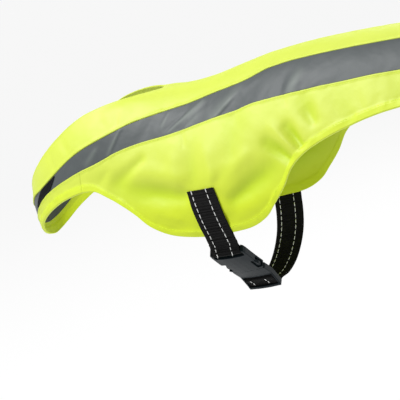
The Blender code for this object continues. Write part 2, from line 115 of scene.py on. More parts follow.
RINGS = table("top_x top_z low_x low_z half_width lift egg", [
    (4, 3, -166, -78, 47, 28, 0.08),
    (17, 4, -167, -98, 57, 22, 0.12),
    (30, 3, -159, -124, 66, 15, 0.16),
    (46, 3, -130, -160, 72, 9, 0.17),
    (70, 5, -62, -187, 75, 4, 0.17),
    (100, 10, 20, -194, 76, 0, 0.16),
    (138, 15, 100, -195, 77, 0, 0.15),
    (200, 17, 192, -192, 76, 0, 0.14),
    (290, 13, 290, -180, 71, 0, 0.12),
    (370, 3, 370, -162, 64, 0, 0.10),
])
CUT = table("neck_ring neck_deg upper_ring upper_deg lower_ring lower_deg hem_ring hem_deg", [
    (0.0, 180, 0.72, 180, 1.45, 180, 1.92, 180),
    (0.0, 156, 0.75, 158, 1.42, 158, 1.86, 163),
    (0.0, 134, 0.90, 139, 1.43, 139, 1.84, 146),
    (0.12, 119, 1.20, 123, 1.56, 122, 1.97, 129),
    (0.17, 106, 1.37, 111, 1.75, 110, 2.17, 115),
    (0.16, 95, 1.44, 101, 1.93, 101, 2.37, 106),
    (0.08, 83, 1.51, 91, 2.13, 92, 2.59, 99),
    (0.0, 73, 1.61, 83, 2.30, 86, 2.85, 95),
    (0.0, 62, 1.76, 75, 2.46, 80, 3.15, 95),
    (0.0, 50, 1.95, 66, 2.64, 73, 3.48, 97),
    (0.0, 37, 2.17, 57, 2.90, 67, 3.83, 101),
    (0.0, 19, 2.52, 49, 3.24, 62, 4.20, 108),
    (0.0, 0, 3.02, 42, 3.67, 58, 4.60, 114),
    (2.0, 0, 3.64, 37, 4.22, 54, 5.05, 117),
    (3.6, 0, 4.31, 33, 4.76, 52, 5.50, 117),
    (4.7, 0, 4.96, 32, 5.27, 51, 5.81, 116),
    (5.3, 0, 5.43, 31, 5.70, 50, 6.02, 112),
    (5.65, 0, 5.72, 29, 5.96, 50, 6.15, 106),
    (5.92, 0, 5.96, 27, 6.19, 50, 6.31, 98),
    (6.4, 0, 6.35, 26, 6.44, 50, 6.47, 88),
    (6.8, 0, 6.78, 26, 6.78, 50, 6.77, 80.5),
    (7.45, 0, 7.42, 26, 7.42, 50, 7.40, 73),
    (8.2, 0, 8.18, 26, 8.14, 50, 8.08, 69.5),
    (9.0, 0, 8.97, 27, 8.85, 49, 8.70, 66),
])
SHOULDER_ROW, CORNER_ROW, LAST_ROW = 6, 12, len(CUT["hem_deg"]) - 1
print("stations in the cut:", LAST_ROW + 1)


# %% Places on the form
def smooth_rows(column, rows):
    """Values between the rows of a column, on a curve through all of them."""
    count = len(column)
    rows = np.clip(np.asarray(rows, float), 0, count - 1)
    low = np.minimum(rows.astype(int), count - 2)
    f = rows - low
    before, start = column[np.maximum(low - 1, 0)], column[low]
    end, after = column[low + 1], column[np.minimum(low + 2, count - 1)]
    slope_in = np.where(low == 0, end - start, (end - before) / 2)
    slope_out = np.where(low == count - 2, end - start, (after - start) / 2)
    return ((2 * f**3 - 3 * f**2 + 1) * start + (f**3 - 2 * f**2 + f) * slope_in
            + (-2 * f**3 + 3 * f**2) * end + (f**3 - f**2) * slope_out)


def form(ring, degrees, side):
    """Point of the worn form: ring number, degrees round from the top, left or right."""
    at = {name: smooth_rows(column, ring) for name, column in RINGS.items()}
    turn = np.radians(degrees)
    cos, sin = np.cos(turn), np.sin(turn)
    dx, dz = at["top_x"] - at["low_x"], at["top_z"] - at["low_z"]
    lift = at["lift"] * sin**2 / np.hypot(dx, dz)
    x = (at["top_x"] + at["low_x"]) / 2 + dx / 2 * cos - dz * lift
    z = (at["top_z"] + at["low_z"]) / 2 + dz / 2 * cos + dx * lift
    y = side * at["half_width"] * sin * (1 - at["egg"] * cos)
    return np.stack([x, y, z], -1)


def form_normal(ring, degrees, side):
    ring_step, turn_step = 0.02, 0.5
    ring = np.asarray(ring, float)
    along = form(ring + ring_step, degrees, side) - form(ring - ring_step, degrees, side)
    round_ = form(ring, degrees + turn_step, side) - form(ring, degrees - turn_step, side)
    n = np.cross(along, round_) * side
    return n / np.linalg.norm(n, axis=-1, keepdims=True)


# %% [markdown]
# ## Folds and creases
# Thin worn cloth shows a few broad hollows, and sharper creases where it is pulled, such as at
# the notch behind each flap. A cloth simulation would put them somewhere else, so each one is
# given as a line with a width and a depth, and fades out at both ends. No two are alike,
# and the far side has its own.

# %% Tables of folds: from x, z to x, z; half width; depth, which is negative for a ridge
def fold_table(*rows):
    return table("x1 z1 x2 z2 half_width depth", rows)


FOLDS = {
    LEFT: fold_table(
        (131, -61, 149, -78, 5.5, 6.4), (153, -51, 164, -68, 4.8, 5.8),
        (137, -47, 157, -70, 4.5, -1.5), (172, -33, 180, -48, 8, 3.2),
        (131, -85, 86, -107, 10, 5.4), (-30, -79, 33, -96, 11, 4.6), (-14, -64, 36, -77, 9, -1.8),
        (-35, -71, -5, -54, 6, 2.2), (92, -71, 71, -88, 6, 1.8), (31, -50, 29, -82, 9, -1.6),
        (66, -53, 69, -90, 10, -1.4), (72, -84, 108, -68, 9, -1.2), (-57, -71, -45, -60, 8, 0.8),
        (50, -52, 48, -84, 8, 1.4), (100, -30, 92, -60, 12, 1.6), (210, -28, 216, -60, 10, 1.2),
        (240, -30, 246, -62, 11, -1.2), (272, -30, 280, -60, 12, 1.4)),
    RIGHT: fold_table(
        (112, -56, 146, -74, 8, 3.2), (140, -40, 158, -63, 6, 3.2), (126, -44, 150, -68, 5, -1.2),
        (178, -35, 190, -48, 8, 2.0), (126, -94, 80, -110, 13, 4.2), (-30, -84, 22, -104, 13, 3.8),
        (-46, -70, -20, -60, 9, 1.7), (10, -54, 24, -86, 9, -2.4), (44, -50, 40, -86, 8, 1.6),
        (62, -52, 70, -88, 9, -2.2), (86, -34, 94, -58, 11, 1.7), (216, -30, 208, -60, 11, 1.3),
        (256, -30, 262, -60, 12, -1.3)),
}
CREASES = {
    LEFT: fold_table(
        (139, -49, 155, -68, 2.6, -0.96), (172, -38, 179, -50, 4.0, 1.12),
        (152, -22, 153, -30, 3.0, 0.72), (103, -24, 96, -35, 4.5, 0.56),
        (41, -40, 42, -50, 2.2, 0.96), (65, -55, 69, -84, 6.0, -0.96),
        (70, -84, 106, -69, 7.0, -1.12), (-57, -71, -45, -60, 4.0, 0.56),
        (-31, -69, -6, -56, 5.0, 0.8), (199, -35, 205, -50, 5.0, 0.8),
        (225, -30, 229, -46, 5.0, 0.64), (210, -61, 219, -50, 4.0, 0.64),
        (241, -55, 246, -41, 5.0, 0.72), (-29, -8, -29, -17, 2.6, 0.8),
        (-110, -34, -107, -47, 3.2, 1.12), (-94, -22, -88, -32, 4.0, 0.8),
        (-51, -4, -43, -15, 3.6, 0.56), (262, -30, 270, -44, 6.0, 0.8),
        (300, -26, 292, -50, 7.0, 0.96), (88, -118, 60, -128, 5.0, 0.8),
        (2, -104, 24, -117, 5.0, -0.8)),
    RIGHT: fold_table(
        (122, -60, 145, -74, 3.2, 1.28), (148, -44, 160, -63, 3.0, 1.12),
        (182, -37, 190, -48, 4.0, 0.96), (120, -24, 123, -33, 3.0, 0.8),
        (48, -42, 44, -54, 2.8, 0.96), (72, -58, 66, -80, 6.0, -0.96),
        (-62, -68, -48, -60, 4.0, 1.12), (-24, -64, -4, -52, 5.0, 0.8),
        (214, -36, 208, -52, 5.0, 0.8), (250, -33, 256, -50, 6.0, 0.8),
        (-36, -9, -34, -19, 3.0, 0.8), (-104, -31, -99, -43, 3.4, 0.96),
        (-80, -16, -72, -27, 4.0, 0.64), (290, -28, 300, -46, 6.0, 0.8),
        (96, -116, 70, -126, 5.0, 0.8)),
}
STRIPE_CREASES = {
    LEFT: fold_table(
        (-40, -43, -26, -23, 1.6, -0.55), (-33, -40, -24, -25, 1.8, 0.5),
        (19, -28, 26, -17, 1.5, -0.5), (23, -32, 43, -21, 1.4, 0.5), (26, -34, 62, -13, 1.5, -0.6),
        (36, -35, 66, -16, 1.8, 0.5), (69, -36, 94, -16, 1.6, -0.55),
        (77, -32, 104, -13, 2.2, 0.5), (105, -12, 126, -2, 1.8, -0.5),
        (151, -5, 148, -18, 3.0, 0.5), (129, -21, 136, -13, 3.0, 0.4),
        (164, -18, 185, -11, 3.5, 0.45), (195, -18, 214, -12, 4.0, -0.4),
        (-65, -48, -53, -36, 2.6, -0.4), (-92, -55, -84, -44, 3.0, 0.4),
        (238, -24, 262, -12, 4.0, 0.4), (290, -26, 300, -10, 5.0, -0.4),
        (76, -30, 103, -8, 6.0, -0.8), (86, -32, 116, -8, 6.0, 0.9), (144, -19, 154, -4, 6.0, 0.8),
        (158, -20, 168, -4, 6.0, -0.8), (112, -22, 127, -2, 5.0, 0.7),
        (46, -30, 62, -14, 5.0, -0.7), (190, -21, 217, -12, 6.0, 0.8),
        (-6, -38, 8, -22, 6.0, 0.7)),
    RIGHT: fold_table(
        (-48, -44, -35, -26, 1.8, -0.5), (8, -30, 24, -17, 1.6, 0.5),
        (44, -33, 70, -15, 1.8, -0.5), (88, -30, 112, -10, 2.2, 0.5),
        (140, -22, 152, -6, 3.0, -0.4), (184, -20, 200, -6, 3.5, 0.4),
        (236, -22, 250, -8, 4.0, -0.4), (-86, -52, -76, -42, 2.6, 0.4),
        (284, -26, 296, -12, 4.5, 0.4), (60, -30, 84, -10, 6.0, 0.8),
        (92, -30, 120, -6, 6.0, -0.8), (150, -20, 164, -4, 6.0, 0.8),
        (200, -21, 222, -10, 6.0, -0.8), (-14, -38, 2, -24, 5.0, 0.7)),
}
for name, tables in (("folds", FOLDS), ("creases", CREASES), ("stripe creases", STRIPE_CREASES)):
    print(name, [len(folds["depth"]) for folds in tables.values()])


# %% Height of the folds
END_DEPTH = 0.45                        # share of a fold's depth that does not fade at its ends
SWELL_START, SWELL_RUN = 0.1, 0.7       # part of a sine's half turn that the rest follows
START_WIDTH, WIDTH_LOSS = 1.25, 0.5     # a fold is wider where its line starts
TOP_FADE, LOW_FADE = (25, 25), (170, 20)    # degrees where folds fade out, and over how many


def fold_height(points, degrees, folds):
    """Each fold is a soft trough or ridge along a line, seen from the side."""
    height = np.zeros(points.shape[:-1])
    for x1, z1, x2, z2, half_width, depth in zip(*folds.values()):
        line = np.array([x2 - x1, z2 - z1])
        rel = points[..., [0, 2]] - np.array([x1, z1])
        share = np.clip(rel @ line / (line @ line), 0, 1)
        away = np.linalg.norm(rel - share[..., None] * line, axis=-1)
        swell = np.sin(math.pi * (SWELL_START + SWELL_RUN * share))
        width = half_width * (START_WIDTH - WIDTH_LOSS * share)
        height -= depth * (END_DEPTH + (1 - END_DEPTH) * swell) * np.exp(-(away / width) ** 2)
    from_top = np.clip((degrees - TOP_FADE[0]) / TOP_FADE[1], 0, 1)
    return height * from_top * np.clip((LOW_FADE[0] - degrees) / LOW_FADE[1], 0, 1)


def cloth(ring, degrees, side, out=0.0, extra=()):
    """Point of the vest's outer face, moved out by a distance."""
    degrees = np.asarray(degrees, float)
    points = form(ring, degrees, side)
    height = fold_height(points, degrees, FOLDS[side]) + out
    for folds in extra:
        height = height + fold_height(points, degrees, folds[side])
    return points + form_normal(ring, degrees, side) * height[..., None]


# %% [markdown]
# ## Panels as grids
# Each panel lies between two lines of the cut. Its stations are spread evenly along the vest, and
# across it the columns crowd towards both edges, where hems and folded lips need them.

# %% Stations and columns
def cut_line(line, rows):
    """Ring and degrees on one of the four lines of the cut."""
    columns = CUT[line + "_ring"], CUT[line + "_deg"]
    if line == "neck":
        return np.stack([np.interp(rows, range(LAST_ROW + 1), column) for column in columns], -1)
    return np.stack([smooth_rows(column, rows) for column in columns], -1)


def length_along(points):
    return np.concatenate([[0], np.cumsum(np.linalg.norm(np.diff(points, axis=0), axis=1))])


REAR_BAND, REAR_STEP, FINE_ROWS = 12.0, 0.6, 400


def stations(first, last, step):
    """Rows at even steps along the stripe, closer near the rear hem, with the seam rows kept."""
    marks = [first] + [r for r in (SHOULDER_ROW, CORNER_ROW) if first < r < last] + [last]
    rows = [np.array([first], float)]
    for a, b in zip(marks, marks[1:]):
        fine = np.linspace(a, b, FINE_ROWS)
        place = cut_line("lower", fine)
        run = length_along(form(place[:, 0], place[:, 1], LEFT))
        count = max(2, round(run[-1] / step))
        places = np.linspace(0, run[-1], count + 1)[1:]
        if b == LAST_ROW:
            places = np.concatenate([places[places < run[-1] - REAR_BAND],
                                     run[-1] - np.arange(REAR_BAND, -0.1, -REAR_STEP)])
        rows.append(np.interp(places, run, fine))
    return np.concatenate(rows)


def spread(count, crowd=0.86):
    """Shares from 0 to 1 that crowd towards both ends."""
    share = np.linspace(0, 1, count + 1)
    return share - crowd * np.sin(2 * np.pi * share) / (2 * np.pi)


def panel(rows, first_line, last_line, share):
    """Ring and degrees over a panel between two lines of the cut."""
    start, end = cut_line(first_line, rows), cut_line(last_line, rows)
    share = share[None, :, None]
    return start[:, None, :] * (1 - share) + end[:, None, :] * share


# %% [markdown]
# ## Hems, lips and puckers
# Along the lower edge the cloth is folded in and stitched down, which makes a band about 8 mm wide
# that stands a little proud, with a groove under the thread and small puckers beside it. Beside
# the stripe each panel ends in a narrow folded lip. The height of these comes from the distance to
# the edge, so they stay the same width wherever the panel narrows.

# %% Height of a doubled edge
CLOTH_WALL, STRIPE_WALL, STRIPE_INSET, SEAM_GAP = 1.4, 1.1, 0.4, 0.3
HEM_BAND, HEM_RISE, HEM_INSET = 8.0, 0.8, 0.9       # the inset is that of the thread
LIP_BAND, LIP_RISE, LIP_INSET = 3.0, 0.6, 0.7
GROOVE_SHARE, GROOVE_WIDTH, ROUND_END = 0.55, 0.55, 0.9
BROAD_PUCKER, FINE_PUCKER, FINE_SHARE = 6.5, 3.1, 0.6
chance = np.random.default_rng(7)


def wander(run, step):
    """A smooth uneven line between -1 and 1 with one chance value for each step."""
    count = int(run.max() / step) + 4
    values = chance.uniform(-1, 1, count)
    return smooth_rows(values, run / step + 1)


def step_down(away, at, soft):
    return 1 / (1 + np.exp((away - at) / soft))


EDGES = {    # width of the doubled band, rise, softness of its step, thread, pucker, its reach
    "hem": (HEM_BAND, HEM_RISE, 0.35, HEM_INSET, 0.45, 3.2),
    "lip": (LIP_BAND, LIP_RISE, 0.25, LIP_INSET, 0.24, 2.2),
    "fold": (2.4, 0.4, 0.3, 0.8, 0.12, 1.8),
}


def edge_height(kind, away, run):
    """The doubled band's height, and its groove, puckers and rounded end, near one edge."""
    if kind == "plain":
        return np.zeros_like(away), np.zeros_like(away)
    band, rise, soft, inset, pucker, reach = EDGES[kind]
    beside = away - band + inset
    groove = GROOVE_SHARE * np.exp(-((beside / GROOVE_WIDTH) ** 2))
    rounded_end = np.clip(1 - away / ROUND_END, 0, 1) ** 2
    uneven = wander(run, BROAD_PUCKER) + FINE_SHARE * wander(run, FINE_PUCKER)
    puckers = pucker * uneven * np.exp(-((beside / reach) ** 2))
    return rise * step_down(away, band, soft), puckers - rise * (groove + rounded_end)


# %% [markdown]
# ## Closed cloth
# A single-sided sheet has no thickness where it ends. Every panel here is two skins a wall apart,
# joined round the edge by a rim with a row of points pushed out, so that a fold reads as round.

# %% From grids to closed meshes
def grid_quads(numbers):
    a, b, c, d = numbers[:-1, :-1], numbers[1:, :-1], numbers[1:, 1:], numbers[:-1, 1:]
    return np.stack([a, b, c, d], -1).reshape(-1, 4)


CLOTH_RIM, TAPE_RIM, TINY = 0.3, 0.1, 1e-9      # how far a rim bulges, as a share of its wall


def closed_cloth(name, outer, inner, quads, maps, round_rim=CLOTH_RIM):
    """Two skins of the same quads and a rim. maps are uv and named values for each outer point."""
    count = len(outer)
    quads = np.asarray(quads)
    first, second, last = (outer[quads[:, k]] for k in (0, 1, 3))
    flow = np.cross(second - first, last - first)
    if ((outer - inner)[quads[:, 0]] * flow).sum() < 0:
        quads = quads[:, ::-1]
    edges = {}
    for number, quad in enumerate(quads.tolist()):
        for a, b in zip(quad, quad[1:] + quad[:1]):
            edges[(a, b)] = number
    free = [(a, b, k) for (a, b), k in edges.items() if (b, a) not in edges]
    push = np.zeros((count, 3))
    for a, b, k in free:
        away = (outer[a] + outer[b]) / 2 - outer[quads[k]].mean(0)
        line = outer[b] - outer[a]
        away -= line * (away @ line) / max(line @ line, TINY)
        away /= max(np.linalg.norm(away), TINY)
        push[a] += away
        push[b] += away
    rim = {}
    middles = []
    for a, b, _ in free:
        for k in (a, b):
            if k not in rim:
                rim[k] = 2 * count + len(middles)
                wall = np.linalg.norm(outer[k] - inner[k])
                away = push[k] / max(np.linalg.norm(push[k]), TINY)
                middles.append((outer[k] + inner[k]) / 2 + away * wall * round_rim)
    faces = quads.tolist() + (quads[:, ::-1] + count).tolist()
    faces += [(b, a, rim[a], rim[b]) for a, b, _ in free]
    faces += [(rim[b], rim[a], count + a, count + b) for a, b, _ in free]
    points = np.concatenate([outer, inner, np.array(middles).reshape(-1, 3)])
    mesh = bpy.data.meshes.new(name)
    mesh.from_pydata(((points - WITHERS) * MM).tolist(), [], faces)
    source = np.concatenate([np.arange(count), np.arange(count), np.array(list(rim), int)])
    corners = np.empty(len(mesh.loops), int)
    mesh.loops.foreach_get("vertex_index", corners)
    layer = mesh.uv_layers.new(name="cloth")
    layer.data.foreach_set("uv", (maps["uv"][source[corners]] * MM).astype(np.float32).ravel())
    for key, values in maps.items():
        if key != "uv":
            mesh.attributes.new(key, "FLOAT", "POINT").data.foreach_set(
                "value", values[source].astype(np.float32))
    mesh.shade_smooth()
    return linked(name, mesh)


def draw_in(grid, edge, by):
    """Moves one edge of a grid inwards along the surface, to leave half a seam's gap."""
    view = {"first": grid, "last": grid[:, ::-1], "front": grid.swapaxes(0, 1),
            "rear": grid.swapaxes(0, 1)[:, ::-1]}[edge]
    step = view[:, 1] - view[:, 0]
    view[:, 0] += step * (by / np.linalg.norm(step, axis=-1, keepdims=True))


# %% One side of a panel
HEM_INSIDE = 0.4                        # how far a hem stands in on the inner face
FULL_HOLLOW, FULL_CREASE = 4.5, 0.6     # depth of a trough with full painted shade, height of a ridge with full painted highlight


def side_grid(side, rows, lines, share, kinds, drawn, wall, inset, creases):
    """Both skins of a panel on one side, and its maps: distances, uv, hem, hollows and creases."""
    params = panel(rows, lines[0], lines[1], share)
    ring, degrees = params[..., 0], params[..., 1]
    plain = cloth(ring, degrees, side, 0.0)
    steps = np.linalg.norm(np.diff(plain, axis=1), axis=-1)
    from_first = np.concatenate([np.zeros((len(rows), 1)), np.cumsum(steps, 1)], 1)
    from_last = from_first[:, -1:] - from_first
    run = length_along(plain[:, -1])
    from_rear = np.stack([length_along(plain[::-1, k])[::-1] for k in range(len(share))], 1)
    ends_behind = "plain" if rows[-1] < LAST_ROW else "hem"
    across = from_first[len(rows) // 2]
    edges = ((kinds[0], from_first, run[:, None]), (kinds[1], from_last, run[:, None]),
             (ends_behind, from_rear, across[None, :]))
    heights = [edge_height(*edge) for edge in edges]
    rise = np.max([band for band, detail in heights], 0) + sum(detail for band, detail in heights)
    hem = np.max([step_down(away, HEM_BAND, 0.4) * (kind == "hem") for kind, away, _ in edges], 0)
    outer = cloth(ring, degrees, side, rise - inset, creases)
    inner = cloth(ring, degrees, side, -inset - wall - HEM_INSIDE * hem, creases)
    for grid in (outer, inner):
        for edge in drawn:
            draw_in(grid, edge, SEAM_GAP / 2)
    uv = np.stack([np.broadcast_to(run[:, None], from_first.shape), from_first * side], -1)
    # The crease map sets where the stripe gets its painted highlights, and the hollow map where the
    # yellow gets its painted shade.
    crease = sum(np.maximum(fold_height(plain, degrees, folds[side]), 0) for folds in creases)
    hollow = -fold_height(plain, degrees, FOLDS[side])
    return {"params": params, "outer": outer, "inner": inner, "uv": uv, "hem": hem,
            "hollow": np.clip(hollow / FULL_HOLLOW, 0, 1),
            "crease": np.clip(crease / FULL_CREASE, 0, 1),
            "first": from_first, "last": from_last, "rear": from_rear}


def grid_cloth(name, outer, inner, maps, round_rim=CLOTH_RIM):
    """Closed cloth from two grids of points and its maps as grids."""
    flat = {key: grid.reshape(-1, 2) if key == "uv" else grid.reshape(-1)
            for key, grid in maps.items()}
    numbers = np.arange(outer.size // 3).reshape(outer.shape[:2])
    return closed_cloth(name, outer.reshape(-1, 3), inner.reshape(-1, 3), grid_quads(numbers),
                        flat, round_rim)


def one_side_cloth(name, part, round_rim=CLOTH_RIM):
    maps = {key: part[key] for key in ("uv", "hem", "hollow", "crease")}
    return grid_cloth(name, part["outer"], part["inner"], maps, round_rim)


def both_sides_cloth(name, parts, on_middle):
    """A panel that runs over both sides, joined along the points on the middle plane."""
    left, right = parts
    numbers = np.arange(on_middle.size).reshape(on_middle.shape)
    fresh = ~on_middle
    twin = numbers.copy()
    twin[fresh] = numbers.size + np.arange(fresh.sum())
    skins = {}
    for skin in ("outer", "inner"):
        for part in parts:
            part[skin][on_middle, 1] = 0.0
        skins[skin] = np.concatenate([left[skin].reshape(-1, 3), right[skin][fresh]])
    maps = {key: np.concatenate([left[key].reshape(-1), right[key][fresh]])
            for key in ("hem", "hollow")}
    maps["uv"] = np.concatenate([left["uv"].reshape(-1, 2), right["uv"][fresh]])
    quads = np.concatenate([grid_quads(numbers), grid_quads(twin)[:, ::-1]])
    return closed_cloth(name, skins["outer"], skins["inner"], quads, maps)


# %% [markdown]
# ## The yellow panels and the stripes
# The back panel goes over both sides and round the neck. The chest panel joins the sides in
# front, and each side panel reaches from the shoulder seam to the rear hem. The stripes sit a
# little below the lips of their neighbours.

# %% Build the panels
STATION_STEP = 2.2
whole = stations(0, LAST_ROW, STATION_STEP)
chest_rows = stations(0, SHOULDER_ROW, STATION_STEP)
flank_rows = stations(SHOULDER_ROW, LAST_ROW, STATION_STEP)
YELLOW, TAPE = (CLOTH_WALL, 0.0, (CREASES,)), (STRIPE_WALL, STRIPE_INSET, (STRIPE_CREASES,))
PANELS = {    # rows, lines of the cut, columns, kinds of edge, edges drawn in, wall and creases
    "back": (whole, ("neck", "upper"), spread(44), ("fold", "lip"),
             ("front", "last"), *YELLOW),
    "chest": (chest_rows, ("lower", "hem"), spread(30), ("lip", "hem"),
              ("rear", "first"), *YELLOW),
    "flank": (flank_rows, ("lower", "hem"), spread(64), ("lip", "hem"),
              ("front", "first"), *YELLOW),
    "stripe": (whole, ("upper", "lower"), spread(22, 0.6), ("plain", "plain"),
               ("front", "first", "last"), *TAPE),
}
SIDES = {LEFT: "left", RIGHT: "right"}
parts = {(name, side): side_grid(side, *rules) for side in SIDES for name, rules in PANELS.items()}
pieces = {}
for panel_name, middle_degrees in (("back", 0), ("chest", 180)):
    pair = [parts[panel_name, side] for side in SIDES]
    name = panel_name + "_cloth"
    pieces[name] = both_sides_cloth(name, pair, pair[0]["params"][..., 1] == middle_degrees)
for side, word in SIDES.items():
    flank, tape = "flank_cloth_" + word, "stripe_tape_" + word
    pieces[flank] = one_side_cloth(flank, parts["flank", side])
    pieces[tape] = one_side_cloth(tape, parts["stripe", side], TAPE_RIM)
print({name: len(obj.data.polygons) * 2 for name, obj in pieces.items()}, "triangles")

# %% [markdown]
# ## The label tab
# A small black woven tab is sewn flat over the left stripe at the chest. It is left bare. Its
# points are those of the stripe, moved out, so it follows the stripe's own curve.

# %% Label tab
LABEL_WALL, LABEL_LENGTH, LABEL_WIDTH = 1.0, 22.0, 17.0
LABEL_FRONT, LABEL_REAR, LABEL_SLANT = 2.58, 3.97, 1.15     # rows of the cut
LABEL_TOP, LABEL_LOW = 0.11, 0.90                           # shares of the stripe's width
LABEL_POINTS = 48, 32


def label_grid(out):
    share = np.linspace(LABEL_TOP, LABEL_LOW, LABEL_POINTS[1])
    rows = np.linspace(LABEL_FRONT, LABEL_REAR, LABEL_POINTS[0])[:, None]
    rows = rows + LABEL_SLANT * (0.5 - share)[None, :]
    upper, lower = cut_line("upper", rows), cut_line("lower", rows)
    params = upper * (1 - share[None, :, None]) + lower * share[None, :, None]
    return cloth(params[..., 0], params[..., 1], LEFT, out)


label_low = -STRIPE_INSET + SEAM_GAP
along, across = np.meshgrid(np.linspace(0, LABEL_LENGTH, LABEL_POINTS[0]),
                            np.linspace(0, LABEL_WIDTH, LABEL_POINTS[1]), indexing="ij")
border = np.min([along, LABEL_LENGTH - along, across, LABEL_WIDTH - across], 0)
pieces["label_cloth"] = grid_cloth("label_cloth", label_grid(label_low + LABEL_WALL),
                                   label_grid(label_low),
                                   {"uv": np.stack([along, across], -1), "border": border})
print("label:", len(pieces["label_cloth"].data.vertices), "points")

# %% [markdown]
# ## The belt
# Webbing is a flat strap with rounded edges and ribs across it. On the flaps it lies on the cloth,
# and from the hem on it follows a path in the plane of the belt: round the bar of the buckle's
# socket on the left, and on the right from the flap along underneath to the bar of the plug.

# %% Belt sizes and paths
WEBBING, WEBBING_WALL, LAYERS, BAR_LOOP = 30.0, 1.6, 2.5, 2.9
BELT_X, BELT_TOP, BELT_EDGE, BELT_LIFT, BELT_DRIFT, BELT_LEG = 57.0, 90.0, 121.0, 1.3, 16.0, 15.2
BUCKLE_BAR, BUCKLE_TILT, BUCKLE_LENGTH, BUCKLE_ARCH = (-61.6, -158.9), 35.5, 71.0, 1.0
TAIL_AT, TAIL_TURN, STRAP_FALL = 62.0, 12.5, 62.0
FLAP_RUN, LEFT_LEG, LEG_START = 55.0, 11.0, 5.5
LEFT_DRIFT = (BELT_TOP, 117), (-3, 3)               # degrees, and how far forward the belt is
DRIFT_REACH, SKEW_REACH = {LEFT: 14.0, RIGHT: 110.0}, 14.0
BELT_RIGHT = table("y z", [(12, -209.3), (28, -208), (44, -200.5), (56, -188.5), (64.5, -174),
                           (69.3, -158)])


def ring_at(x, degrees):
    """Ring number at which the form passes a given x, at some degrees round."""
    rings = np.linspace(3.0, 8.0, 251)
    x, degrees = np.broadcast_arrays(np.asarray(x, float), np.asarray(degrees, float))
    out = np.empty(x.shape)
    for k in np.ndindex(x.shape):
        out[k] = np.interp(x[k], form(rings, np.full(rings.shape, degrees[k]), LEFT)[:, 0], rings)
    return out


def smooth_step(share):
    share = np.clip(share, 0, 1)
    return share * share * (3 - 2 * share)


def smooth_path(points, step):
    """Points a step apart on a curve through a few points."""
    points = np.array(points, float)
    rows = np.linspace(0, len(points) - 1, 60 * len(points))
    fine = np.stack([smooth_rows(points[:, k], rows) for k in (0, 1)], -1)
    run = length_along(fine)
    at = np.linspace(0, run[-1], max(2, round(run[-1] / step) + 1))
    return np.stack([np.interp(at, run, fine[:, k]) for k in (0, 1)], -1)


def buckle_place(u, w):
    """y, z of a point of the buckle: along it from the socket's bar, and outwards."""
    tilt, half = math.radians(BUCKLE_TILT), BUCKLE_LENGTH / 2
    w = w + BUCKLE_ARCH * (1 - ((min(u, TAIL_AT) - half) / half) ** 2)
    y = BUCKLE_BAR[0] + min(u, TAIL_AT) * math.cos(tilt)
    z = BUCKLE_BAR[1] - min(u, TAIL_AT) * math.sin(tilt)
    if u > TAIL_AT:
        tilt += math.radians(TAIL_TURN)
        y += (u - TAIL_AT) * math.cos(tilt)
        z -= (u - TAIL_AT) * math.sin(tilt)
    return y - w * math.sin(tilt), z - w * math.cos(tilt)


def bar_loop(bar, fall, towards, reach):
    """y, z of webbing turned round a bar: from a reach away on the outside to as far inside."""
    tilt = math.radians(fall)
    arc = [(math.sin(math.radians(a)) * BAR_LOOP, math.cos(math.radians(a)) * BAR_LOOP)
           for a in range(0, 181, 15)]
    leg = [(-reach, LAYERS / 2), (-LEG_START, LAYERS / 2)]
    loop = leg + arc + [(u, -w) for u, w in reversed(leg)]
    return [(bar[0] + towards * u * math.cos(tilt) - w * math.sin(tilt),
             bar[1] - towards * u * math.sin(tilt) - w * math.cos(tilt)) for u, w in loop]


# %% Belt grids
BELT_STEP, BELT_COLUMNS = 0.5, 21
belt_across = np.sin(np.linspace(-math.pi / 2, math.pi / 2, BELT_COLUMNS)) * WEBBING / 2


def belt_rows_on_flap(side):
    """Belt grid where it lies on the flap, from its sewn end down to the flap's edge."""
    degrees = np.linspace(BELT_TOP, BELT_EDGE, round(FLAP_RUN / BELT_STEP))
    drift = np.interp(degrees, *LEFT_DRIFT) if side == LEFT else np.full_like(degrees, BELT_DRIFT)
    x = BELT_X + drift[:, None] + belt_across[None, :]
    turn = np.broadcast_to(degrees[:, None], x.shape)
    return cloth(ring_at(x, turn), turn, side, BELT_LIFT)


def belt_grid(side, flap, path):
    """The whole of one belt piece: on the flap, then along a path of y, z that fades from it."""
    path = np.array(path)
    count = len(path)
    plain = np.stack([np.broadcast_to(values, (count, BELT_COLUMNS))
                      for values in (BELT_X + belt_across, path[:, :1], path[:, 1:])], -1)
    run = length_along(path)
    away = flap[-1] - plain[0]
    drift = np.array([away[BELT_COLUMNS // 2, 0], 0.0, 0.0])
    shift = smooth_step(1 - run / DRIFT_REACH[side])[:, None, None] * drift
    skew = smooth_step(1 - run / SKEW_REACH)[:, None, None] * (away - drift)
    return np.concatenate([flap, (plain + shift + skew)[1:]])


def even_steps(path, step):
    """The same path with its long straight stretches cut into short ones."""
    path = np.array(path)
    out = [path[:1]]
    for a, b in zip(path, path[1:]):
        count = max(1, round(np.linalg.norm(b - a) / step))
        out.append(a + (b - a) * (np.arange(1, count + 1) / count)[:, None])
    return np.concatenate(out)


flap_left, flap_right = belt_rows_on_flap(LEFT), belt_rows_on_flap(RIGHT)
middle = BELT_COLUMNS // 2
near = bar_loop(buckle_place(0.0, 0.0), STRAP_FALL, 1, LEFT_LEG)
left_path = np.concatenate([smooth_path([flap_left[-1, middle, 1:], near[0]], 1.0), near[1:]])
far = bar_loop(buckle_place(BUCKLE_LENGTH, 0.0), BUCKLE_TILT + TAIL_TURN, -1, BELT_LEG)
down = smooth_path([far[-2], far[-1], *zip(*BELT_RIGHT.values()), flap_right[-1, middle, 1:]], 1.0)
right_path = np.concatenate([down[::-1], far[::-1][2:]])
belts = {"webbing_left": belt_grid(LEFT, flap_left, even_steps(left_path, BELT_STEP)),
         "webbing_right": belt_grid(RIGHT, flap_right, even_steps(right_path, BELT_STEP))}


